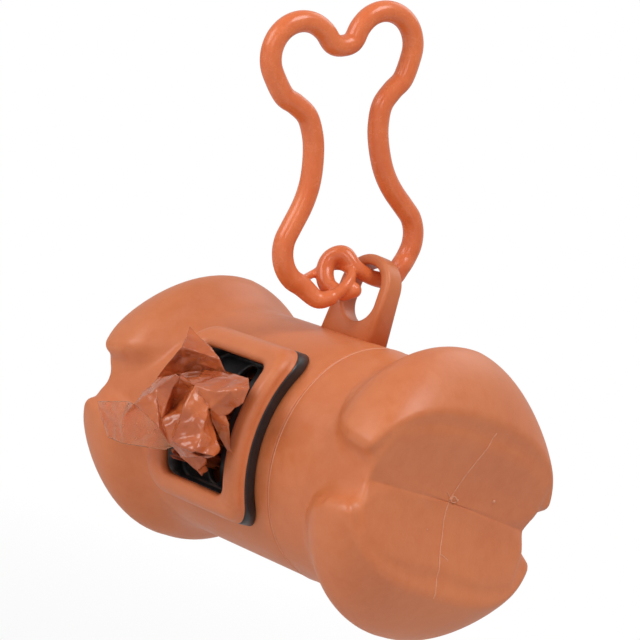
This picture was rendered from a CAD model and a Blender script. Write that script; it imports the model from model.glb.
import math

import bmesh
import bpy
import numpy as np
from mathutils import Matrix, Vector
from mathutils.noise import voronoi


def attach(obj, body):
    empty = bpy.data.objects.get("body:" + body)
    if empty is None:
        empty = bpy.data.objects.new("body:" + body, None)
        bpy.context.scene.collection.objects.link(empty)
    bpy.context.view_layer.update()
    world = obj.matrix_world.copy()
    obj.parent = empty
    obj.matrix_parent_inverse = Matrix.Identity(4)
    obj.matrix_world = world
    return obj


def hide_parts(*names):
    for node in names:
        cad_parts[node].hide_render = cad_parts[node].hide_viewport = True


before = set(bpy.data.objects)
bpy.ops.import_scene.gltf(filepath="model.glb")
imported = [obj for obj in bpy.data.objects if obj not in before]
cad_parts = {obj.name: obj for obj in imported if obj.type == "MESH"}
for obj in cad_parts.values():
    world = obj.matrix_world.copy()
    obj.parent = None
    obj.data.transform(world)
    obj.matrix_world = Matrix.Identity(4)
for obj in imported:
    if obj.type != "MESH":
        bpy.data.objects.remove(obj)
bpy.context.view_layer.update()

# Bone frame, in millimetres: the bone lies along X, its window looks towards -Y, its lug up.
# The row frame's origin is the hanging point, HANG in the bone frame.
HANG = np.array([-1.83775, -21.6569, 65.5741])
TUBE_R, WALL = 21.0, 2.0
SEAM_X = 12.2
NECK_R, CHAMBER_R, NECK_LENGTH = 18.92, 17.42, 8.0
FLANGE_R, WEB_R, FRAME_R = 23.4, 20.0, 25.8
WINDOW_X, FRAME_W, FRAME_H, FRAME_BAR, LINING = -3.0, 24.4, 30.8, 3.9, 1.0
FRAME_CORNER, OPENING_CORNER, SLOT_W, SLOT_L = 3.8, 1.8, 3.0, 21.0
LUG_X, LUG_W, LUG_T, LUG_TOP = 0.9, 12.0, 4.0, 36.0
LUG_HOLE_R, LUG_HOLE_LOW, LUG_HOLE_HIGH = 3.8, 27.5, 30.3
PIVOT = np.array([0.7, 0.0, 31.95])
RING_ROOT = np.array([-0.554285, -3.45554, 29.3837])
WIRE_R, HOOK_R, TIP_R = 1.87, 1.4, 1.3
ROLL_Z, ROLL_R, CORE_R, CORE_WALL, ROLL_W = -1.12, 16.0, 6.8, 0.8, 60.0

# The camera, in the bone frame: its place, its focal length in pixels of the 640 x 640 picture,
# and the directions that are right, down and forward in the picture
EYE = np.array([252.59, -260.89, 16.79])
FOCAL, IMAGE = 2049.54, 640.0
VIEW = np.array([[0.6726, 0.6664, 0.3218], [0.218, 0.237, -0.9467], [-0.7072, 0.7069, 0.0141]])


def to_row(points):
    return (np.asarray(points, float).reshape(-1, 3) - HANG) / 1000.0


def make(name, points, faces, body, slot, material, replaces=(), smooth=True):
    """A mesh piece from points in the bone frame."""
    mesh = bpy.data.meshes.new(name)
    mesh.from_pydata(to_row(points).tolist(), [], [list(map(int, f)) for f in faces])
    mesh.validate()
    mesh.update()
    if smooth:
        mesh.polygons.foreach_set("use_smooth", [True] * len(mesh.polygons))
    piece = bpy.data.objects.new(name, mesh)
    bpy.context.collection.objects.link(piece)
    mesh.materials.append(material)
    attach(piece, body)
    if replaces:
        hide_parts(*replaces)
    return piece


def grid(rows, cols, wrap_rows=False, wrap_cols=True, flip=False):
    """Quads of a grid of points, row after row."""
    faces = []
    for i in range(rows if wrap_rows else rows - 1):
        for j in range(cols if wrap_cols else cols - 1):
            a, b = i * cols, ((i + 1) % rows) * cols
            m = (j + 1) % cols
            f = [a + j, a + m, b + m, b + j]
            faces.append(f[::-1] if flip else f)
    return faces


# ---------------------------------------------------------------- materials

def tree_of(name):
    material = bpy.data.materials.new(name)
    material.use_nodes = True
    tree = material.node_tree
    shader = tree.nodes["Principled BSDF"]
    return material, tree, shader


def noise(tree, where, scale, detail=3.0, rough=0.5, distortion=0.0):
    node = tree.nodes.new("ShaderNodeTexNoise")
    node.inputs["Scale"].default_value = scale
    node.inputs["Detail"].default_value = detail
    node.inputs["Roughness"].default_value = rough
    node.inputs["Distortion"].default_value = distortion
    tree.links.new(where, node.inputs["Vector"])
    return node.outputs["Fac"]


def spread(tree, value, low, high, to_low=0.0, to_high=1.0):
    node = tree.nodes.new("ShaderNodeMapRange")
    node.clamp = True
    for name, number in zip(("From Min", "From Max", "To Min", "To Max"), (low, high, to_low, to_high)):
        node.inputs[name].default_value = number
    tree.links.new(value, node.inputs["Value"])
    return node.outputs["Result"]


def mix_colors(tree, factor, a, b):
    node = tree.nodes.new("ShaderNodeMix")
    node.data_type = "RGBA"
    for socket, value in ((node.inputs["Factor"], factor), (node.inputs["A"], a), (node.inputs["B"], b)):
        if isinstance(value, bpy.types.NodeSocket):
            tree.links.new(value, socket)
        else:
            socket.default_value = (*value, 1.0) if isinstance(value, tuple) else value
    return node.outputs["Result"]


def calc(tree, operation, a, b):
    node = tree.nodes.new("ShaderNodeMath")
    node.operation = operation
    for socket, value in zip(node.inputs, (a, b)):
        if isinstance(value, bpy.types.NodeSocket):
            tree.links.new(value, socket)
        else:
            socket.default_value = value
    return node.outputs["Value"]


def bump(tree, height, strength, distance, normal=None):
    node = tree.nodes.new("ShaderNodeBump")
    node.inputs["Strength"].default_value = strength
    node.inputs["Distance"].default_value = distance
    tree.links.new(height, node.inputs["Height"])
    if normal is not None:
        tree.links.new(normal, node.inputs["Normal"])
    return node.outputs["Normal"]


def moulded(name, base, pale, dark, rough, grain, sheen_noise=0.08, waves=0.2, scuff=0.12):
    """Injection-moulded plastic: eroded grain, slow colour drift, pale scuffs and patchy gloss."""
    material, tree, shader = tree_of(name)
    where = tree.nodes.new("ShaderNodeTexCoord").outputs["Object"]
    drift = noise(tree, where, 55.0, 4.0, 0.55)
    mottle = noise(tree, where, 420.0, 5.0, 0.62)
    fine = noise(tree, where, 2600.0, 2.0, 0.5)
    scratch = tree.nodes.new("ShaderNodeMapping")
    scratch.inputs["Scale"].default_value = (0.10, 1.0, 1.0)
    scratch.inputs["Rotation"].default_value = (0.3, 0.5, 0.35)
    tree.links.new(where, scratch.inputs["Vector"])
    lines = noise(tree, scratch.outputs["Vector"], 900.0, 3.0, 0.6)
    color = mix_colors(tree, spread(tree, drift, 0.3, 0.7), dark, base)
    color = mix_colors(tree, spread(tree, mottle, 0.35, 0.75, 0.0, 0.45), color, pale)
    color = mix_colors(tree, spread(tree, lines, 0.66, 0.80, 0.0, scuff), color, pale)
    tree.links.new(color, shader.inputs["Base Color"])
    gloss = calc(tree, "ADD", spread(tree, mottle, 0.3, 0.7, rough - sheen_noise, rough + sheen_noise),
                 spread(tree, lines, 0.6, 0.8, 0.0, 0.06))
    tree.links.new(gloss, shader.inputs["Roughness"])
    normal = bump(tree, drift, waves, 0.0006)
    normal = bump(tree, mottle, grain * 0.5, 0.00012, normal)
    normal = bump(tree, fine, grain, 0.00004, normal)
    tree.links.new(normal, shader.inputs["Normal"])
    return material


BODY = moulded("body_plastic", (0.64, 0.180, 0.057), (0.69, 0.235, 0.100), (0.59, 0.155, 0.050), 0.42, 0.5)
FLASH = moulded("flash_plastic", (0.70, 0.30, 0.17), (0.78, 0.40, 0.26), (0.62, 0.24, 0.13), 0.40, 0.3)
RING = moulded("ring_plastic", (0.78, 0.172, 0.046), (0.83, 0.245, 0.090), (0.69, 0.132, 0.035), 0.25, 0.22,
               sheen_noise=0.05, waves=0.15, scuff=0.06)
BLACK = moulded("black_plastic", (0.012, 0.012, 0.013), (0.03, 0.03, 0.032), (0.008, 0.008, 0.009), 0.38, 0.5,
                scuff=0.3)

# ---------------------------------------------------------------- the bone

# An end's form, fitted to the photograph's silhouette, lobe borders and face edge. The face's slopes
# and crease were set by eye after that, and the rim's MORE_ values stand nearer to the CAD's rim than
# the ones chosen for the photograph, 1.6 and -1.25
LOBE_R, LOBE_X, LOBE_BACK, RIM_BELOW = 25.113, 29.219, 13.182, -5.0
VALLEY_X, SLOPE, FACE_SLOPE, CREASE = 34.299, 0.275, 0.355, 4.5
FACE_HALF_Z, FACE_HALF_Y, FACE_SQUARE = 14.9, 24.372, 2.863
# How far below the face's edge the rim's curve is centred, as a part of the rim's height, and how
# square it is: beside the notches, and what the lobe's middle adds
SIDE_DROP, MORE_DROP, SIDE_SQUARE, MORE_SQUARE = 0.4, 1.3, 2.8, -1.0
NOTCH_RIM, NOTCH_TUBE, FLARE, FLARE_X, FLARE_FADE = 5.284, 2.85, 6.495, 22.8, 2.785
EDGE_K, NOTCH_K, FILLET_K = 0.74, 1.796, 2.343
# Towards the back the notches and lobes stand lower, per millimetre, and reach out further
LEAN, WIDER = 0.07, 1.04
# How far inside the rim's curve the tube ends away from the middle, from where in z and over what width
SUNK, SUNK_FROM, SUNK_OVER = 3.5, 3.0, 11.0
# The face's edge stays this far inside the lobes' radius, and the rim's gradient and flare have limits
EDGE_MARGIN, LEAST_GRADIENT, FLARE_START = 0.8, 0.12, -2.0
# The point on the axis that the rays over an end's lobes and face start from
CENTRE = 20.0


def halved(low, high, outside, times):
    """Between low and high, where outside(value) turns true, found by halving."""
    for _ in range(times):
        mid = (low + high) / 2
        out = outside(mid)
        low, high = np.where(out, low, mid), np.where(out, mid, high)
    return (low + high) / 2


def face_radius():
    """Distance from the axis to the face's edge, as a table over the angle from Y."""
    angle = np.linspace(0, math.pi / 2, 361)

    def outside(r):
        return (r * np.sin(angle) / FACE_HALF_Z) ** 2 + (r * np.cos(angle) / FACE_HALF_Y) ** FACE_SQUARE > 1
    edge = halved(np.zeros_like(angle), np.full_like(angle, 40.0), outside, 40)
    return angle, np.minimum(edge, LOBE_R - EDGE_MARGIN)


FACE_ANGLE, FACE_RADIUS = face_radius()


def smax(a, b, k):
    """The larger of a and b, rounded over where they are closer than k."""
    return np.maximum(a, b) + np.maximum(k - np.abs(a - b), 0) ** 2 / (4 * k)


def ramp(t):
    """From 0 to 1 as t does, level at both ends."""
    t = np.clip(t, 0, 1)
    return t * t * (3 - 2 * t)


def upright(y, z):
    """Behind the middle, y and z as they would be without the lean and the wider reach."""
    z = z + LEAN * np.maximum(y, 0)
    return np.where(y > 0, y / WIDER, y), z


def bone_depth(p, inset=0.0):
    """Distance, about, from the surface of the bone's +X end; negative inside."""
    x, y, z = p[..., 0], p[..., 1], p[..., 2]
    tube_r = np.hypot(y, z)
    y, z = upright(y, z)
    r = np.hypot(y, z)
    rise = np.sqrt(z * z + CREASE ** 2) - CREASE
    valley = (x - (VALLEY_X + FACE_SLOPE * rise)) / math.sqrt(1 + FACE_SLOPE ** 2)
    turn = np.arctan2(np.abs(z), np.abs(y))
    edge_r = np.interp(turn, FACE_ANGLE, FACE_RADIUS)
    edge_x = VALLEY_X + SLOPE * edge_r * np.sin(turn)
    front = x > LOBE_X
    share = np.sin(turn)
    drop, square = SIDE_DROP + MORE_DROP * share, SIDE_SQUARE + MORE_SQUARE * share
    n = np.where(front, square, 2.0)
    ax = np.where(front, (edge_x - LOBE_X) / (1 - (drop / (1 + drop)) ** square) ** (1 / square), LOBE_BACK)
    low = np.where(front, edge_r - drop * (LOBE_R - edge_r), RIM_BELOW)
    ar = LOBE_R - low
    u, v = np.abs(x - LOBE_X) / ax, np.maximum(r - low, 0) / ar
    rim = (u ** n + v ** n - 1) / np.maximum(
        n * np.hypot(u ** (n - 1) / ax, v ** (n - 1) / ar), LEAST_GRADIENT)
    taper = (NOTCH_RIM - NOTCH_TUBE) / (LOBE_R - TUBE_R)
    half = NOTCH_RIM + FLARE * np.exp(-np.maximum(x - FLARE_X, FLARE_START) / FLARE_FADE)
    notch = (half + taper * (np.abs(y) - LOBE_R) - np.abs(z)) / math.sqrt(1 + taper * taper)
    lobe = smax(smax(rim, valley, EDGE_K), notch, NOTCH_K)
    sunk = rim + SUNK * ramp((np.abs(z) - SUNK_FROM) / SUNK_OVER)
    tube = smax(np.where(front, np.maximum(tube_r - TUBE_R, sunk), tube_r - TUBE_R), valley, EDGE_K)
    return -smax(-tube, -lobe, FILLET_K) + inset


def ray_out(origin, direction, depth, far=60.0):
    """Where rays from inside first leave the form."""
    low, high = np.zeros(origin.shape[:-1]), np.full(origin.shape[:-1], far)
    steps = np.linspace(0.0, far, 121)[1:]
    found = np.zeros(low.shape, bool)
    for t in steps:
        out = (depth(origin + direction * t) > 0) & ~found
        high = np.where(out, t, high)
        low = np.where(found | out, low, t)
        found |= out
    run = halved(low, high, lambda t: depth(origin + direction * t[..., None]) > 0, 26)
    return origin + direction * run[..., None]


def columns():
    """Angles about X, closer together at the notches."""
    fine = np.arange(-16.0, 16.01, 0.8)
    wide = np.linspace(16.0, 164.0, 94)[1:-1]
    half = np.concatenate([fine, wide])
    return np.radians(np.concatenate([half, half + 180.0]))


def edge_angle(theta):
    """Angle from X, seen from CENTRE, of the crest between the end's face and its rim."""
    y, z = upright(np.cos(theta), np.sin(theta))
    turn = np.arctan2(np.abs(z), np.abs(y))
    r = np.interp(turn, FACE_ANGLE, FACE_RADIUS)
    return np.arctan2(r / np.hypot(y, z), VALLEY_X + SLOPE * r * np.sin(turn) - CENTRE)


def end_rows(theta, inset=0.0, first=SEAM_X):
    """Rows of points from the plane at first along X, over the lobes, to the middle of the face."""
    def cast(x, along, outward):
        """The row that rays from x on the axis meet on the form."""
        origin = np.tile([x, 0.0, 0.0], (len(theta), 1))
        along = np.broadcast_to(along, theta.shape)
        d = np.stack([along, outward * np.cos(theta), outward * np.sin(theta)], -1)
        return ray_out(origin, d, lambda p: bone_depth(p, inset))

    crest = edge_angle(theta)
    over_rim = np.concatenate([np.linspace(0, 0.9, 34)[1:], np.linspace(0.9, 1.0, 9)[1:]])
    over_face = np.concatenate([np.linspace(0, 0.12, 9)[1:], np.linspace(0.12, 1.0, 26)[1:-1]])
    tilts = [math.pi / 2 + (crest - math.pi / 2) * t for t in over_rim] + [crest * (1 - t) for t in over_face]
    rows = [cast(x, 0.0, 1.0) for x in np.linspace(first, CENTRE, 6)]
    return rows + [cast(CENTRE, np.cos(tilt), np.sin(tilt)) for tilt in tilts]


def circle(x, r, theta):
    return np.stack([np.full(len(theta), x), r * np.cos(theta), r * np.sin(theta)], -1)


def closed_skin(rows, first_pole, last_pole):
    """Points and faces of stacked rings, each end closed by a pole."""
    cols = len(rows[0])
    points = np.concatenate(rows + [[first_pole], [last_pole]])
    pole, last = len(rows) * cols, (len(rows) - 1) * cols
    faces = grid(len(rows), cols)
    faces += [[pole, (j + 1) % cols, j] for j in range(cols)]
    faces += [[pole + 1, last + j, last + (j + 1) % cols] for j in range(cols)]
    return points, faces


THETA = columns()
OUTER = end_rows(THETA)
INNER = end_rows(THETA, WALL, 8.0)
LIP = 0.3
# Gap between the housing's and the end's edges where they meet
HAIR = 0.02
# How far past the seam the end's cavity starts, where the housing's starts, and where its neck's bore does
CAP_CAVITY, SHELL_CAVITY, NECK_START = 1.5, 9.0, SEAM_X - 4.0
# Chamfers at the neck's end, inside and outside
BORE_CHAMFER, NECK_CHAMFER = 0.4, 0.5


def lip_rows(x, outward, r_out, r_in):
    """Rounded edge of a wall that ends at the plane x; outward is +1 where the wall lies beyond it."""
    rows = []
    for a in np.linspace(0, math.pi / 2, 5):
        rows.append(circle(x + outward * LIP * (1 - math.sin(a)), r_out - LIP * (1 - math.cos(a)), THETA))
    rows.append(circle(x, r_in, THETA))
    return rows


# Pull-off end: inside pole -> cavity -> bore -> lip -> outside -> pole
bore_r = TUBE_R - WALL
cavity = [row for row in INNER if row[:, 0].min() > SEAM_X + CAP_CAVITY]
cap_rows = cavity[::-1]
cap_rows += [circle(SEAM_X, bore_r, THETA)] + lip_rows(SEAM_X, 1, TUBE_R, bore_r + 0.4)[::-1]
cap_rows += [row for row in OUTER if row[:, 0].min() > SEAM_X + LIP + 0.1]
points, faces = closed_skin(cap_rows, [VALLEY_X - WALL, 0, 0], [VALLEY_X, 0, 0])
make("pull_off_end", points, faces, "cap", "body_plastic", BODY, ["end_cap"])


def flipped(rows):
    return [row * [-1, 1, 1] for row in rows]


# Main moulding: inside pole of the closed end -> cavity -> neck bore -> neck -> shoulder -> tube
# -> closed end
shell = flipped([row for row in INNER if row[:, 0].min() > SHELL_CAVITY])[::-1]
shell += [circle(x, bore_r, THETA) for x in (-8.0, 0.0, NECK_START)]
neck_end = SEAM_X + NECK_LENGTH
shell += [circle(x, r, THETA) for x, r in (
    (NECK_START, CHAMBER_R), (neck_end - BORE_CHAMFER, CHAMBER_R), (neck_end, CHAMBER_R + BORE_CHAMFER),
    (neck_end, NECK_R - NECK_CHAMFER), (neck_end - NECK_CHAMFER, NECK_R), (SEAM_X - HAIR, NECK_R))]
shell += lip_rows(SEAM_X - HAIR, -1, TUBE_R, NECK_R + 0.2)[::-1]
shell += [circle(x, TUBE_R, THETA) for x in (8.0, 4.0, 0.0, -4.0, -8.0)]
shell += flipped(OUTER)
points, faces = closed_skin(shell, [-(VALLEY_X - WALL), 0, 0], [-VALLEY_X, 0, 0])
body = make("bone_moulding", points, faces, "housing", "body_plastic", BODY, ["body_shell"])


def block(lo, hi):
    """A box in the bone frame, for cutting."""
    corners = [[(hi if i & (1 << axis) else lo)[axis] for axis in range(3)] for i in range(8)]
    faces = [[0, 2, 3, 1], [4, 5, 7, 6], [0, 1, 5, 4], [2, 6, 7, 3], [0, 4, 6, 2], [1, 3, 7, 5]]
    mesh = bpy.data.meshes.new("cutter")
    mesh.from_pydata(to_row(corners).tolist(), [], faces)
    piece = bpy.data.objects.new("cutter", mesh)
    bpy.context.collection.objects.link(piece)
    return piece


def apply_modifiers(piece):
    bpy.context.view_layer.update()
    graph = bpy.context.evaluated_depsgraph_get()
    mesh = bpy.data.meshes.new_from_object(piece.evaluated_get(graph))
    piece.modifiers.clear()
    piece.data = mesh


half_w, half_h = FRAME_W / 2 - FRAME_BAR, FRAME_H / 2 - FRAME_BAR
cutter = block((WINDOW_X - half_w - LINING, -30, -half_h - LINING),
               (WINDOW_X + half_w + LINING, -5, half_h + LINING))
cut = body.modifiers.new("window", "BOOLEAN")
cut.operation, cut.solver, cut.object = "DIFFERENCE", "EXACT", cutter
apply_modifiers(body)
bpy.data.objects.remove(cutter)

# ---------------------------------------------------------------- lug

def stadium(centre_low, centre_high, r, n):
    """Closed outline in XZ with straight sides: two half circles."""
    angles = np.linspace(0, 2 * math.pi, n, endpoint=False)
    x = LUG_X + r * np.cos(angles)
    z = np.where(np.sin(angles) >= 0, centre_high, centre_low) + r * np.sin(angles)
    return np.stack([x, z], -1)


def lug_piece():
    """The eye on the tube: rounded all round, its foot flared into the tube."""
    n, edge = 96, 0.7
    arc = np.linspace(0, math.pi / 2, 6)
    section = [(edge * (1 - math.sin(a)), LUG_T / 2 - edge * (1 - math.cos(a))) for a in arc]
    half = [(inset, -y) for inset, y in section] + [(inset, y) for inset, y in section[::-1]]
    rows = []
    for inset, y in half:
        o = stadium(TUBE_R - 1.5, LUG_TOP - LUG_W / 2, LUG_W / 2 - inset, n)
        rows.append(np.stack([o[:, 0], np.full(n, y), o[:, 1]], -1))
    for inset, y in half[::-1]:
        o = stadium(LUG_HOLE_LOW, LUG_HOLE_HIGH, LUG_HOLE_R + inset, n)
        rows.append(np.stack([o[:, 0], np.full(n, y), o[:, 1]], -1))
    points = np.concatenate(rows)
    # the foot eases into the tube
    low = np.clip((TUBE_R + 1.2 - points[:, 2]) / 1.2, 0, 1.4) ** 2
    points[:, 0] = LUG_X + (points[:, 0] - LUG_X) * (1 + 0.03 * low)
    points[:, 1] *= 1 + 0.2 * low
    points[:, 2] = np.maximum(points[:, 2], TUBE_R - 1.2)
    return points, grid(len(rows), n, wrap_rows=True)


points, faces = lug_piece()
make("lug", points, faces, "housing", "body_plastic", BODY)

# ---------------------------------------------------------------- window frame and slot plate

OUTLINE_POINTS = 240


def rounded_rectangle(w, h, corner):
    """Closed outline, its points evenly spread by length, about the window's middle."""
    w, h = w / 2, h / 2
    corner = min(corner, w - 1e-6, h - 1e-6)
    pts = []
    for cx, cz, a0 in ((w - corner, h - corner, 0), (-w + corner, h - corner, 90),
                       (-w + corner, -h + corner, 180), (w - corner, -h + corner, 270)):
        for a in np.radians(np.linspace(a0, a0 + 90, 25)):
            pts.append((cx + corner * math.cos(a), cz + corner * math.sin(a)))
    pts = np.array(pts + [pts[0]])
    run = np.concatenate([[0], np.cumsum(np.linalg.norm(np.diff(pts, axis=0), axis=1))])
    at = np.linspace(0, run[-1], OUTLINE_POINTS, endpoint=False)
    return np.stack([np.interp(at, run, pts[:, 0]), np.interp(at, run, pts[:, 1])], -1)


def matched(outline):
    """The outline's points turned to start at angle zero, so that loops line up."""
    angle = np.arctan2(outline[:, 1], outline[:, 0])
    return np.roll(outline, -int(np.argmin(np.abs(angle))), axis=0)


def loops_to_mesh(loops):
    """A ring-shaped solid: each loop is (outline in XZ, radius about X)."""
    rows = []
    for outline, r in loops:
        x, z = outline[:, 0] + WINDOW_X, outline[:, 1]
        rows.append(np.stack([x, -np.sqrt(r * r - z * z), z], -1))
    return np.concatenate(rows), grid(len(rows), len(loops[0][0]), wrap_rows=True)


def frame_loops():
    """The frame's bar is nearly half round, with a thin flash line round its foot."""
    out = []

    def loop(inset, r):
        corner = FRAME_CORNER + (OPENING_CORNER - FRAME_CORNER) * max(inset, 0.0) / FRAME_BAR
        out.append((matched(rounded_rectangle(FRAME_W - 2 * inset, FRAME_H - 2 * inset, corner)), r))
    loop(0.15, FLANGE_R)
    loop(-0.02, FLANGE_R + 0.06)
    loop(-0.02, FLANGE_R + 0.24)
    loop(0.14, FLANGE_R + 0.36)
    edge = 1.5
    for a in np.linspace(0.1, math.pi / 2, 9):
        loop(0.14 + edge * (1 - math.cos(a)), FRAME_R - edge + edge * math.sin(a))
    inner = 1.6
    for a in np.linspace(math.pi / 2, 0.0, 9):
        loop(FRAME_BAR - inner + inner * math.cos(a), FRAME_R - inner + inner * math.sin(a))
    loop(FRAME_BAR, FLANGE_R)
    return out


points, faces = loops_to_mesh(frame_loops())
make("raised_frame", points, faces, "housing", "body_plastic", BODY, ["window_frame"])


def slot_outline(width, length):
    return matched(rounded_rectangle(width, length, width / 2 - 1e-3))


def plate_loops():
    """Flange over the tube, a pocket with rounded edges, the web with its slot, and the plug's underside."""
    out = []

    def outer(inset, r):
        out.append((matched(rounded_rectangle(FRAME_W - 2 * inset, FRAME_H - 2 * inset,
                                              FRAME_CORNER - 0.7 * inset)), r))

    def inner(grow, r):
        out.append((matched(rounded_rectangle(2 * (half_w + grow), 2 * (half_h + grow),
                                              OPENING_CORNER + grow)), r))
    edge, pocket, rim = 0.5, 0.8, 0.35
    outer(LINING + 0.8, TUBE_R)
    outer(0.3, TUBE_R)
    outer(0.0, TUBE_R + 0.3)
    for a in np.linspace(0, math.pi / 2, 5):
        outer(edge * (1 - math.cos(a)), FLANGE_R - edge + edge * math.sin(a))
    inner(0.0, FLANGE_R)
    for a in np.linspace(0, math.pi / 2, 5):
        inner(-pocket * (1 - math.cos(a)), WEB_R + pocket * (1 - math.sin(a)))
    start, end = out[-1][0], slot_outline(SLOT_W + 2 * rim, SLOT_L + 2 * rim)
    for t in np.linspace(0.1, 0.9, 8):
        out.append((start * (1 - t) + end * t, WEB_R))
    for a in np.linspace(0, math.pi / 2, 4):
        grow = 2 * rim * (1 - math.sin(a))
        out.append((slot_outline(SLOT_W + grow, SLOT_L + grow), WEB_R - rim * (1 - math.cos(a))))
    out.append((slot_outline(SLOT_W, SLOT_L), TUBE_R - WALL))
    inner(LINING - 0.15, TUBE_R - WALL)
    inner(LINING - 0.15, TUBE_R)
    return out


points, faces = loops_to_mesh(plate_loops())
make("slot_insert", points, faces, "housing", "black_plastic", BLACK, ["slot_plate"])

# ---------------------------------------------------------------- ring clip

def turned(a, b, c):
    a, b, c = np.radians([a, b, c])
    rx = np.array([[1, 0, 0], [0, math.cos(a), -math.sin(a)], [0, math.sin(a), math.cos(a)]])
    ry = np.array([[math.cos(b), 0, math.sin(b)], [0, 1, 0], [-math.sin(b), 0, math.cos(b)]])
    rz = np.array([[math.cos(c), -math.sin(c), 0], [math.sin(c), math.cos(c), 0], [0, 0, 1]])
    return rz @ ry @ rx


RING_TURN = turned(26.6, 3, -10)
RING_HALF, RING_TOP, RING_DIP, WAIST = 14.4, 47.4, 5.0, 6.65
CROWN_R, FOOT_R, FOOT_HIGH, FOOT_HALF = 6.1, 6.8, 7.6, 13.6


def on_ring(u, t, s=0.0):
    """A point of the ring's own plane: u across, t up from its foot."""
    return RING_ROOT + RING_TURN @ np.array([s, u, t])


def arc(u, t, r, degrees):
    """Points of an arc whose rightmost point is (u, t)."""
    return [(u + r * (math.cos(a) - 1), t + r * math.sin(a)) for a in np.radians(degrees)]


SIDE = arc(FOOT_HALF, FOOT_HIGH, FOOT_R, np.arange(-62, 45, 21)) + [
    (WAIST + u, t) for u, t in ((2.9, 15.4), (1.4, 18.3), (0.5, 21.3), (0, 25), (0.1, 28), (1, 31.2),
                                (3.2, 33.5), (5.4, 35.2))] \
    + arc(RING_HALF, RING_TOP - CROWN_R, CROWN_R, np.arange(-27, 142, 24)) + [(2, RING_TOP - RING_DIP + 0.5)]
ring_points = [on_ring(-u, t) for u, t in SIDE] + [on_ring(0, RING_TOP - RING_DIP)] \
    + [on_ring(u, t) for u, t in SIDE[:0:-1]]
hook_points = [PIVOT + p for p in np.array([
    [0.9, 4.8, 3.6], [0.6, 3.9, 0.9], [0, 0, 0], [-1, -3.9, 0.7], [-3, -5.7, 2.2], [-4.7, -6.8, 0.9],
    [-4.6, -7.3, -1.6], [-2.7, -7.2, -4], [0, -6, -4.4], [1.3, -5.1, -3.4]])]
hook_radii = [WIRE_R, (WIRE_R + HOOK_R) / 2, HOOK_R, HOOK_R, 1.6, 1.6, 1.6, 1.6, 1.35, TIP_R]
eye_points = [PIVOT + p for p in np.array([
    [-4.7, -11.3, -4.2], [-5.8, -9.2, -3.2], [-5.6, -6.6, -1.1], [-3.4, -5, 0.2],
    [-0.2, -5.3, -0.6], [1, -6.9, -3.1], [0.2, -8.5, -5.8], [-1.3, -10, -6.9]])]
eye_radii = [0.8, 0.72, 0.72, 0.85, 0.95, 1.0, 1.1, 1.35]


def spline(p, steps):
    """Smooth curve through the points; columns past the third, such as a radius, ride along."""
    p, n, out = np.array(p), len(p), []
    for i in range(n - 1):
        a, b, c, d = (p[min(max(k, 0), n - 1)] for k in (i - 1, i, i + 1, i + 2))
        for t in np.arange(steps) / steps:
            out.append(0.5 * (2 * b + (c - a) * t + (2 * a - 5 * b + 4 * c - d) * t * t
                              + (3 * b - a - 3 * c + d) * t ** 3))
    out.append(p[-1])
    return np.array(out)


def sweep(path, radii, start, sides=24):
    """A tube along a path, its frame carried without twist, with rounded ends."""
    path, radii = np.array(path), np.array(radii, float)
    n = len(path)
    tangent = np.gradient(path, axis=0)
    tangent /= np.linalg.norm(tangent, axis=1)[:, None]
    v = np.array(start, float)
    angles = np.linspace(0, 2 * math.pi, sides, endpoint=False)
    rows = []

    def ring(centre, r, along, across):
        side = np.cross(along, across)
        rows.append(centre + r * (np.cos(angles)[:, None] * across + np.sin(angles)[:, None] * side))
    for i in range(n):
        v = v - (v @ tangent[i]) * tangent[i]
        v /= np.linalg.norm(v)
        ends = []
        if i == 0:
            ends = [(-math.cos(a), math.sin(a)) for a in np.linspace(0.05, 1.0, 7)[:-1] * math.pi / 2]
        ends.append((0.0, 1.0))
        if i == n - 1:
            ends += [(math.cos(a), math.sin(a)) for a in np.linspace(1.0, 0.05, 7)[1:] * math.pi / 2]
        for on, out in ends:
            ring(path[i] + tangent[i] * radii[i] * on, radii[i] * out, tangent[i], v)
    points = np.concatenate(rows)
    faces = grid(len(rows), sides, flip=True)
    faces += [list(range(sides)), list(range(len(points) - 1, len(points) - sides - 1, -1))]
    return points, faces


def joined(parts):
    """One mesh of several, each given as its points and its faces."""
    points, faces = [], []
    for more, its_faces in parts:
        faces += [[i + len(points) for i in face] for face in its_faces]
        points.extend(more)
    return np.array(points), faces


def with_radius(points, radii):
    return [np.append(p, r) for p, r in zip(points, radii)]


STEPS = 10
root = [1.35, 1.6]
main = spline(with_radius(eye_points[-2:], root) + with_radius(ring_points, [WIRE_R] * len(ring_points))
              + with_radius(hook_points, hook_radii), STEPS)
loop = spline(with_radius(eye_points, eye_radii), STEPS)
tail = main[-1]
points, faces = joined([
    sweep(main[:, :3], main[:, 3], [1, 0, 0], 32), sweep(loop[:, :3], loop[:, 3], [0, 0, 1], 20),
    sweep([tail[:3], tail[:3] + [0.1, 0.1, 0.1]], [1.1 * TIP_R] * 2, [0, 0, 1], 20)])
ring = make("ring_and_hook", points, faces, "ring", "ring_plastic", RING, ["ring_clip"])
melt = ring.modifiers.new("melt", "REMESH")
melt.mode, melt.voxel_size, melt.use_smooth_shade = "VOXEL", 0.00024, True
ease = ring.modifiers.new("ease", "SMOOTH")
ease.factor, ease.iterations = 0.5, 6
apply_modifiers(ring)

# ---------------------------------------------------------------- flash and gate marks

def on_end(y, z):
    """The point of the bone's +X end at y and z."""
    return ray_out(np.array([[CENTRE, y, z]]), np.array([[1.0, 0.0, 0.0]]), bone_depth)[0]


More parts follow.
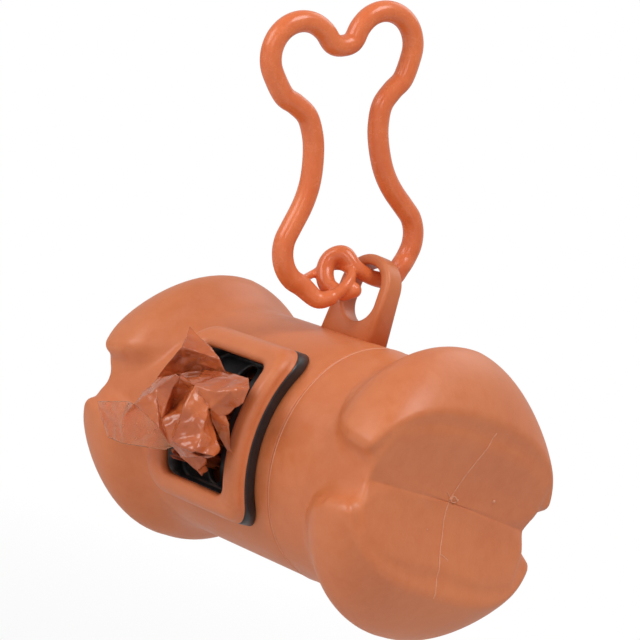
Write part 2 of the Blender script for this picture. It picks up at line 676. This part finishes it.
def marks(lines, dots, mirror):
    """Thin raised lines and small gate marks that lie on an end's face."""
    parts = []
    for line, r in lines:
        path = np.array([on_end(y, z) for y, z in spline(line, 8)])
        parts.append(sweep(path, r * (0.75 + 0.25 * np.sin(np.arange(len(path)) * 1.7)), [0, 1, 0], 8))
    for y, z, r in dots:
        p = on_end(y, z)
        parts.append(sweep([p - [0.5 * r, 0, 0], p + [0.1 * r, 0, 0]], [r, 0.7 * r], [0, 1, 0], 14))
    points, faces = joined(parts)
    return (points * [-1, 1, 1], [face[::-1] for face in faces]) if mirror else (points, faces)


def seam_ring(x, r):
    """A thin raised line round the tube's end at the seam."""
    turn = np.linspace(0, 2 * math.pi, 241)[:-1]
    sides = np.linspace(0, 2 * math.pi, 9)[:-1]
    rows = [np.stack([x + r * np.cos(sides), (TUBE_R + r * np.sin(sides)) * math.cos(t),
                      (TUBE_R + r * np.sin(sides)) * math.sin(t)], -1) for t in turn]
    return np.concatenate(rows), grid(len(rows), len(sides), wrap_rows=True)


near = marks([([(1.3, 13.2), (0.4, 9), (-0.5, 4.5), (-1.2, 0.6)], 0.13),
              ([(-1.2, 0.6), (-1.5, -2.5), (-1.3, -5.5), (-1.4, -8.4), (-1.1, -12), (-0.9, -15.6)], 0.15),
              ([(-1.35, -8.4), (-0.3, -8.7), (0.8, -9.1)], 0.09),
              ([(-1.3, 0.5), (-0.7, 1.1), (0.1, 0.9), (0.5, 0.5)], 0.20),
              ([(-1.1, 0.7), (-1.8, 1.0), (-2.5, 1.5)], 0.11),
              ([(-1.0, 0.5), (-0.5, 0.1), (0.3, 0.3)], 0.13)],
             [(-1.2, 0.6, 0.45), (0.5, 0.7, 0.34), (9.3, 2.2, 0.42), (-5.3, -5.2, 0.2)], False)
make("face_marks", *near, "cap", "body_plastic", FLASH)
far = marks([([(0.8, 12.6), (0.2, 7), (0.4, 1), (0.2, -5), (0.5, -11), (0.4, -15)], 0.10)],
            [(0.3, 0.4, 0.5)], True)
make("far_face_marks", *far, "housing", "body_plastic", FLASH)
make("seam_line", *seam_ring(SEAM_X + LIP, 0.09), "cap", "body_plastic", FLASH)

# ---------------------------------------------------------------- the pulled bag

def film(name, base, dark, clear):
    """Thin glossy plastic film, a little see-through, creased all over."""
    material, tree, shader = tree_of(name)
    where = tree.nodes.new("ShaderNodeTexCoord").outputs["Object"]
    drift = noise(tree, where, 130.0, 4.0, 0.6, 0.6)
    creases = noise(tree, where, 190.0, 3.0, 0.5, 0.8)
    fine = noise(tree, where, 700.0, 2.0, 0.5, 0.4)
    color = mix_colors(tree, spread(tree, drift, 0.32, 0.68), dark, base)
    tree.links.new(color, shader.inputs["Base Color"])
    tree.links.new(spread(tree, fine, 0.3, 0.7, 0.16, 0.28), shader.inputs["Roughness"])
    shader.inputs["Specular IOR Level"].default_value = 0.6
    shader.inputs["IOR"].default_value = 1.5
    shader.inputs["Transmission Weight"].default_value = clear
    normal = bump(tree, creases, 0.5, 0.0005)
    normal = bump(tree, fine, 0.18, 0.00008, normal)
    tree.links.new(normal, shader.inputs["Normal"])
    return material


FILM = film("bag_film", (0.60, 0.148, 0.042), (0.38, 0.070, 0.019), 0.05)
CLEAR_FILM = film("bag_film_single", (0.95, 0.50, 0.24), (0.86, 0.36, 0.15), 0.80)


def seen_at(u, v, y):
    """The point at y that the camera sees at a pixel of the picture."""
    along = np.array([(u - IMAGE / 2) / FOCAL, (v - IMAGE / 2) / FOCAL, 1.0]) @ VIEW
    return EYE + along * ((y - EYE[1]) / along[1])


# The crumpled film's fold points: where the picture shows them, and how far out they stand
FOLDS = {
    "s0": (189.6, 325.9, -29.5), "s1": (200.7, 337.9, -29.0), "s2": (211.9, 347.9, -28.4),
    "s3": (220.7, 359.4, -28.0), "s4": (227.0, 374.6, -26.4), "s5": (186.8, 335.5, -30.6),
    "s6": (181.6, 346.7, -32.2), "s7": (165.7, 365.8, -32.4), "s8": (156.1, 378.6, -32.0),
    "s9": (143.0, 393.6, -32.0), "q1": (197.6, 362.6, -29.2), "q2": (180.0, 373.8, -29.4),
    "f0": (176.0, 373.8, -35.6), "f1": (156.1, 388.9, -35.5), "f2": (133.8, 404.1, -35.6),
    "f4": (159.3, 428.0, -35.0), "f5": (168.9, 443.5, -33.6), "v1": (173.6, 386.5, -34.8),
    "v2": (173.0, 407.3, -31.4), "v3": (160.9, 420.0, -34.3), "r1": (180.0, 376.5, -35.2),
    "r2": (188.8, 389.7, -32.6), "r3": (181.6, 412.0, -33.0), "r4": (171.2, 440.0, -34.0),
    "g0": (194.4, 384.9, -35.6), "g1": (184.8, 405.7, -36.4), "g2": (172.0, 441.5, -36.0),
    "g3": (208.7, 407.3, -33.6), "g4": (203.9, 431.2, -34.0), "g5": (194.4, 451.9, -35.0),
    "g6": (215.1, 456.7, -31.5), "g7": (219.9, 448.7, -30.3), "g8": (211.9, 421.6, -30.8),
    "k1": (183.0, 377.2, -32.0), "k2": (197.6, 376.8, -32.6), "k3": (227.8, 376.2, -30.4),
    "k4": (248.6, 377.8, -29.6), "k5": (249.6, 388.1, -30.8), "k6": (243.0, 404.1, -30.6),
    "k7": (225.5, 415.2, -30.4), "k8": (210.3, 408.9, -33.2), "k9": (213.5, 391.3, -34.2),
    "ka": (231.0, 390.5, -32.8), "l1": (218.3, 415.2, -31.4), "l2": (229.4, 424.8, -29.4),
    "l3": (229.6, 448.7, -27.0), "l4": (232.8, 453.5, -26.3), "l5": (227.0, 450.3, -27.0),
    "l6": (216.7, 431.2, -29.2), "n1": (181.6, 458.3, -31.0), "n2": (197.6, 469.4, -28.4),
    "n3": (202.3, 476.6, -24.2), "n4": (207.1, 470.0, -25.4), "n5": (205.5, 458.3, -29.2),
    "n6": (191.2, 451.9, -33.0), "p0": (166.0, 428.0, -31.4), "p1": (176.0, 445.0, -31.2),
    "p2": (141.0, 405.0, -32.6), "m0": (97.3, 400.9, -29.2), "m1": (128.2, 400.9, -32.0),
    "m2": (133.8, 403.7, -33.6), "m3": (100.3, 415.2, -29.4), "m4": (108.3, 437.6, -30.0),
    "m5": (122.6, 443.9, -31.0), "m6": (144.9, 447.1, -31.8), "m7": (165.7, 450.3, -32.0),
    "m8": (122.6, 418.4, -31.6)}
INNER_FOLDS = {"b0": (-3.2, -27.5, 7.5), "b1": (-3.4, -28.0, 0.0), "b2": (-3.2, -26.5, -7.5)}
PANELS = """s0 s5 s1, s5 s6 s1, s1 s6 s2, s2 s6 s3, s6 q1 s3, s3 q1 s4, s6 q2 q1, s6 s7 q2, s7 s8 q2,
q1 b0 s4, q2 b0 q1, q2 s8 f0, s8 f1 f0, s8 s9 f1, s9 f2 f1, f0 f1 v1, f1 f2 f4, f1 f4 v3,
f1 v3 v1, v1 v3 v2, f4 f5 v3, f5 r4 v3, f0 v1 r1, r1 v1 v2, r1 v2 r2, r2 v2 r3, v2 v3 r3,
v3 r4 r3, r2 r3 g1, r2 g1 g0, r3 g2 g1, r3 r4 g2, r1 r2 g0, g0 g1 g3, g1 g4 g3, g1 g2 g4,
g2 g5 g4, g3 g4 g8, g4 g7 g8, g4 g6 g7, g4 g5 g6, k1 g0 k2, r1 g0 k1, k2 g0 k9, k2 k9 k3,
k3 k9 ka, k3 ka k4, k4 ka k5, k5 ka k6, k6 ka k7, ka k8 k7, ka k9 k8, g0 k8 k9, g0 g3 k8,
k2 k3 b0, k3 k4 b0, k4 k6 b0, k6 k7 b0, k8 l1 k7, k7 l1 l2, l1 l6 l2, l2 l6 l3, l3 l6 l5,
l3 l5 l4, k8 g8 l1, g8 l6 l1, f5 n1 n6, r4 f5 n6, g2 r4 n6, g2 n6 g5, n6 n1 n5, n1 n2 n5,
n5 n2 n4, n2 n3 n4, n4 n3 b2, n5 n4 b2, g6 n5 b2, g7 g6 b2, p0 b1 p1, p2 b1 p0, s8 b0 b1,
q2 b0 s8, p2 s9 b1, s9 s8 b1, p1 b1 b2, p1 b2 n1, f5 p1 n1"""
FLAP = """m0 m8 m1, m0 m3 m8, m3 m4 m8, m1 m8 m2, m2 m8 p2, m8 p0 p2, m8 m5 p0, m8 m4 m5, p0 m5 m6,
p0 m6 p1, p1 m6 m7"""


def crumpled(panels, cuts, depth):
    """A mesh of flat panels with shared folds, cut fine, its folds eased and small creases pressed in."""
    places = {k: seen_at(*v) for k, v in FOLDS.items()}
    places.update({k: np.array(v, float) for k, v in INNER_FOLDS.items()})
    names = sorted({n for p in panels.split(",") for n in p.split()})
    work = bmesh.new()
    verts = {n: work.verts.new(places[n]) for n in names}
    for panel in panels.split(","):
        work.faces.new([verts[n] for n in panel.split()])
    bmesh.ops.subdivide_edges(work, edges=work.edges[:], cuts=cuts, use_grid_fill=True)
    bmesh.ops.triangulate(work, faces=work.faces[:])
    bmesh.ops.smooth_vert(work, verts=work.verts[:], factor=0.4,
                          use_axis_x=True, use_axis_y=True, use_axis_z=True)
    work.normal_update()
    moves = []
    for v in work.verts:
        near, _ = voronoi(v.co * 0.22 + Vector((3.1, 7.7, 1.3)))
        big = min(near[1] - near[0], 0.5)
        near, _ = voronoi(v.co * 0.62)
        small = min(near[1] - near[0], 0.5)
        edge = 0.3 if v.is_boundary else 1.0
        moves.append(v.normal * (depth * edge * (0.75 * (big - 0.2) + 0.22 * (small - 0.2))))
    for v, move in zip(work.verts, moves):
        v.co += move
    points = [v.co[:] for v in work.verts]
    work.verts.index_update()
    faces = [[v.index for v in face.verts] for face in work.faces]
    work.free()
    return points, faces


def stem(turns=14):
    """The gathered film in the slot: narrow pleats side by side, opening towards the window."""
    rows = []
    step = np.arange(turns * 4 + 1)
    wide = np.cumsum(1 + 0.55 * np.sin(0.9 * step) + 0.25 * np.sin(2.3 * step + 1))
    zs = 8.3 - 16.6 * (wide - wide[0]) / (wide[-1] - wide[0])
    deep = 0.72 + 0.28 * np.sin(1.7 * step + 0.6)
    for y, spread_x in ((-16.9, 0.7), (-18.5, 0.75), (-20.5, 0.8), (-22.5, 1.0), (-25.0, 1.25), (-28.0, 1.6)):
        x = WINDOW_X + spread_x * deep * np.sin(step * math.pi / 2 + 0.4 * math.sin(y))
        x = x + 0.35 * np.sin(0.5 * step + 0.3 * y)
        back = np.sqrt((ROLL_R + 0.45) ** 2 - (zs - ROLL_Z) ** 2)
        depth = np.where(y > -18, np.minimum(y, -back), y)
        rows.append(np.stack([x, depth, zs], -1))
    return np.concatenate(rows), grid(len(rows), len(zs), wrap_cols=False)


def film_piece(name, points, faces, material):
    piece = make(name, points, faces, "pulled_bag", "bag_film", material, ["first_bag"])
    thick = piece.modifiers.new("film", "SOLIDIFY")
    thick.thickness, thick.offset = 0.00007, 0.0
    apply_modifiers(piece)


points, faces = joined([crumpled(PANELS, 13, 1.0), stem()])
film_piece("pulled_bag_film", points, faces, FILM)
points, faces = crumpled(FLAP, 13, 0.6)
film_piece("pulled_bag_flap", points, faces, CLEAR_FILM)

# ---------------------------------------------------------------- the roll

BAGS, FIRST_BAG, LAYER_GAP, BAG_LENGTH = 14, 2, 0.03, 329.0
PITCH = math.pi * (ROLL_R ** 2 - CORE_R ** 2) / BAGS / BAG_LENGTH
FILM_PACK = 0.62 * PITCH


def roll_without(off):
    return math.sqrt(ROLL_R ** 2 - (ROLL_R ** 2 - CORE_R ** 2) * off / BAGS)


def wound_bag(number):
    """One bag's folded film, wound as a spiral from its inner to its outer radius."""
    off = number - FIRST_BAG
    inner = roll_without(off + 1) + LAYER_GAP + FILM_PACK / 2
    outer = roll_without(off) - FILM_PACK / 2
    turns = (outer - inner) / PITCH
    angles = np.linspace(0, 2 * math.pi * turns, int(48 * turns) + 2) + 2.1 * number
    radii = np.linspace(inner, outer, len(angles))
    slip = 0.12 * math.sin(2.4 * number)
    half = ROLL_W / 2 - 0.15
    rows = []
    for a, r in zip(angles, radii):
        rows.append([(x + slip, (r + h) * math.cos(a), ROLL_Z + (r + h) * math.sin(a))
                     for x, h in ((-half, FILM_PACK / 2), (half, FILM_PACK / 2),
                                  (half, -FILM_PACK / 2), (-half, -FILM_PACK / 2))])
    points = np.array(rows).reshape(-1, 3)
    faces = grid(len(rows), 4) + [[3, 2, 1, 0], [len(points) - 4 + k for k in range(4)]]
    length = float(np.sum(np.abs(np.diff(angles)) * radii[1:])) / 1000
    return points, faces, length


for number in range(FIRST_BAG + BAGS - 1, FIRST_BAG - 1, -1):
    points, faces, length = wound_bag(number)
    bag = make(f"wound_bag_{number:02d}", points, faces, "roll", "bag_film", FILM,
               [f"bag_{number:02d}"], smooth=False)


def paper_core():
    """A tube of paper wound in a spiral, with its seam pressed in and its rims rounded."""
    n, half, rim = 96, ROLL_W / 2, 0.25
    turn = np.linspace(0, 2 * math.pi, n, endpoint=False)
    rows = []

    def ring(x, r, seam):
        lead = 26.0
        phase = np.mod(turn / (2 * math.pi) - x / lead, 1.0)
        groove = seam * 0.07 * np.exp(-(np.minimum(phase, 1 - phase) / 0.018) ** 2)
        rows.append(np.stack([np.full(n, x), (r - groove) * np.cos(turn),
                              ROLL_Z + (r - groove) * np.sin(turn)], -1))
    inside = CORE_R - CORE_WALL
    for x in np.linspace(-half + rim, half - rim, 100):
        ring(x, CORE_R, 1)
    for a in np.linspace(0.3, math.pi / 2, 4):
        ring(half - rim + rim * math.sin(a), CORE_R - rim + rim * math.cos(a), 0)
    for a in np.linspace(math.pi / 2, 0.3, 4):
        ring(half - rim + rim * math.sin(a), inside + rim - rim * math.cos(a), 0)
    for x in np.linspace(half - rim, -half + rim, 100):
        ring(x, inside, -1)
    for a in np.linspace(0.3, math.pi / 2, 4):
        ring(-half + rim - rim * math.sin(a), inside + rim - rim * math.cos(a), 0)
    for a in np.linspace(math.pi / 2, 0.3, 4):
        ring(-half + rim - rim * math.sin(a), CORE_R - rim + rim * math.cos(a), 0)
    return np.concatenate(rows), grid(len(rows), n, wrap_rows=True)


def card():
    """Grey-brown core board with flecks and fibres."""
    material, tree, shader = tree_of("core_card")
    where = tree.nodes.new("ShaderNodeTexCoord").outputs["Object"]
    fibres = tree.nodes.new("ShaderNodeMapping")
    fibres.inputs["Scale"].default_value = (0.25, 1.0, 1.0)
    tree.links.new(where, fibres.inputs["Vector"])
    threads = noise(tree, fibres.outputs["Vector"], 1800.0, 5.0, 0.6, 0.8)
    flecks = noise(tree, where, 900.0, 3.0, 0.6)
    color = mix_colors(tree, spread(tree, threads, 0.35, 0.7), (0.34, 0.25, 0.16), (0.47, 0.36, 0.24))
    color = mix_colors(tree, spread(tree, flecks, 0.62, 0.72, 0.0, 0.6), color, (0.20, 0.14, 0.09))
    tree.links.new(color, shader.inputs["Base Color"])
    shader.inputs["Roughness"].default_value = 0.9
    tree.links.new(bump(tree, threads, 0.5, 0.0001), shader.inputs["Normal"])
    return material


make("paper_core", *paper_core(), "roll", "core_paper", card(), ["roll_core"])

# ---------------------------------------------------------------- camera, light and floor

camera_data = bpy.data.cameras.new("camera")
camera_data.sensor_width = 36.0
camera_data.lens = FOCAL * camera_data.sensor_width / IMAGE
camera_data.clip_start = 0.01
camera = bpy.data.objects.new("camera", camera_data)
bpy.context.collection.objects.link(camera)
eye = to_row(EYE)[0]
right = Vector(VIEW[0]).normalized()
back = -Vector(VIEW[2]).normalized()
up = back.cross(right).normalized()
right = up.cross(back)
camera.matrix_world = Matrix((
    (right.x, up.x, back.x, eye[0]), (right.y, up.y, back.y, eye[1]),
    (right.z, up.z, back.z, eye[2]), (0, 0, 0, 1)))
bpy.context.scene.camera = camera


def lamp(name, where, target, size, watts):
    data = bpy.data.lights.new(name, "AREA")
    data.shape, data.size, data.energy = "DISK", size, watts
    piece = bpy.data.objects.new(name, data)
    bpy.context.collection.objects.link(piece)
    piece.location = where
    direction = Vector(target) - Vector(where)
    piece.rotation_euler = direction.to_track_quat("-Z", "Y").to_euler()


middle = (0.0, 0.02, -0.055)
lamp("key", (-0.15, -0.68, 0.20), middle, 0.45, 2.2)
lamp("fill", (0.50, -0.08, 0.64), middle, 0.45, 3.3)
lamp("front", (0.50, -0.60, 0.08), middle, 0.25, 0.5)
lamp("top", (-0.05, 0.45, 0.55), middle, 0.5, 0.9)

world = bpy.data.worlds.new("studio")
bpy.context.scene.world = world
world.use_nodes = True
wt = world.node_tree
background = wt.nodes["Background"]
background.inputs["Color"].default_value = (1, 1, 1, 1)
path = wt.nodes.new("ShaderNodeLightPath")
# White where the camera looks straight or through film, and dimmer where it lights or is mirrored
WORLD_LIGHT, MIRRORED = 0.34, 0.45
seen = calc(wt, "MAXIMUM", path.outputs["Is Camera Ray"], path.outputs["Is Transmission Ray"])
mirrored = calc(wt, "MULTIPLY", path.outputs["Is Glossy Ray"], MIRRORED)
level = spread(wt, calc(wt, "MAXIMUM", seen, mirrored), 0.0, 1.0, WORLD_LIGHT, 1.0)
wt.links.new(level, background.inputs["Strength"])

FLOOR_HALF, FLOOR_Z = 4.0, -0.135
floor_mesh = bpy.data.meshes.new("floor")
corners = [(x * FLOOR_HALF, y * FLOOR_HALF, 0) for x, y in ((-1, -1), (1, -1), (1, 1), (-1, 1))]
floor_mesh.from_pydata(corners, [], [(0, 1, 2, 3)])
floor = bpy.data.objects.new("floor", floor_mesh)
floor.location = (0, 0, FLOOR_Z)
bpy.context.collection.objects.link(floor)
floor_material, ft, floor_shader = tree_of("pale_floor")
floor_shader.inputs["Base Color"].default_value = (0.74, 0.74, 0.74, 1)
floor_shader.inputs["Roughness"].default_value = 0.9
glow = ft.nodes.new("ShaderNodeEmission")
glow.inputs["Color"].default_value = (1, 1, 1, 1)
look = ft.nodes.new("ShaderNodeLightPath")
# For the camera alone the floor glows white, a little less under the object, where it shows the shade
away = ft.nodes.new("ShaderNodeVectorMath")
away.operation = "LENGTH"
ft.links.new(ft.nodes.new("ShaderNodeTexCoord").outputs["Object"], away.inputs[0])
fade = spread(ft, away.outputs["Value"], 0.10, 0.42, 0.88, 1.0)
share = calc(ft, "MULTIPLY", look.outputs["Is Camera Ray"], fade)
blend = ft.nodes.new("ShaderNodeMixShader")
ft.links.new(share, blend.inputs["Fac"])
ft.links.new(floor_shader.outputs["BSDF"], blend.inputs[1])
ft.links.new(glow.outputs["Emission"], blend.inputs[2])
ft.links.new(blend.outputs["Shader"], ft.nodes["Material Output"].inputs["Surface"])
floor_mesh.materials.append(floor_material)

bpy.context.scene.view_settings.view_transform = "Standard"
